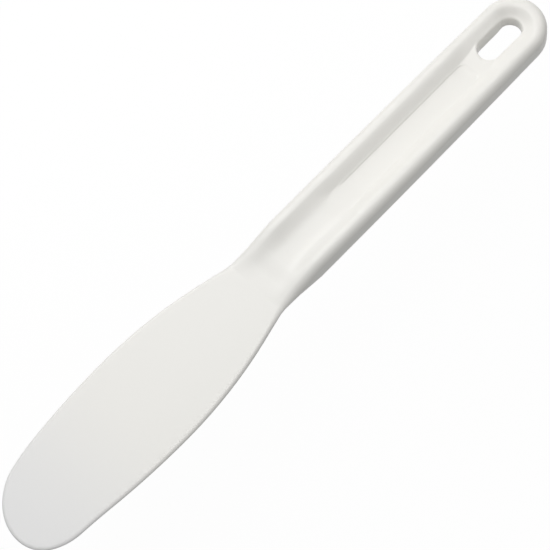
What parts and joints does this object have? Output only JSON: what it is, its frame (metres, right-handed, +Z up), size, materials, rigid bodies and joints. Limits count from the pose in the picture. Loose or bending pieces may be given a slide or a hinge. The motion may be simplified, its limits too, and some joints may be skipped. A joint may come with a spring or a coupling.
{
  "type": "putty knife",
  "caption": "Flat white plastic putty knife with a thin, round-nosed, flexible blade, a thicker dished handle and a slot to hang it by.",
  "frame": {"origin": "middle of the overall length and width, on the surface that the handle's lower rims rest on", "axes": "+X from the blade's nose to the handle's butt, +Y across the knife, +Z up through its thickness"},
  "size_m": [0.2032, 0.0318, 0.0087],
  "materials": {
    "white_plastic": "moulded, semi-gloss"
  },
  "bodies": {
    "handle": {"handle": "white_plastic"},
    "blade": {"blade": "white_plastic"}
  },
  "joints": [
    {"name": "blade_flex", "type": "hinge", "parent": "handle", "child": "blade", "pos_m": [-0.008, 0, 0.00435], "axis": [0, 1, 0], "range_deg": [-30, 30], "stiffness_Nm_per_rad": 0.5}
  ]
}
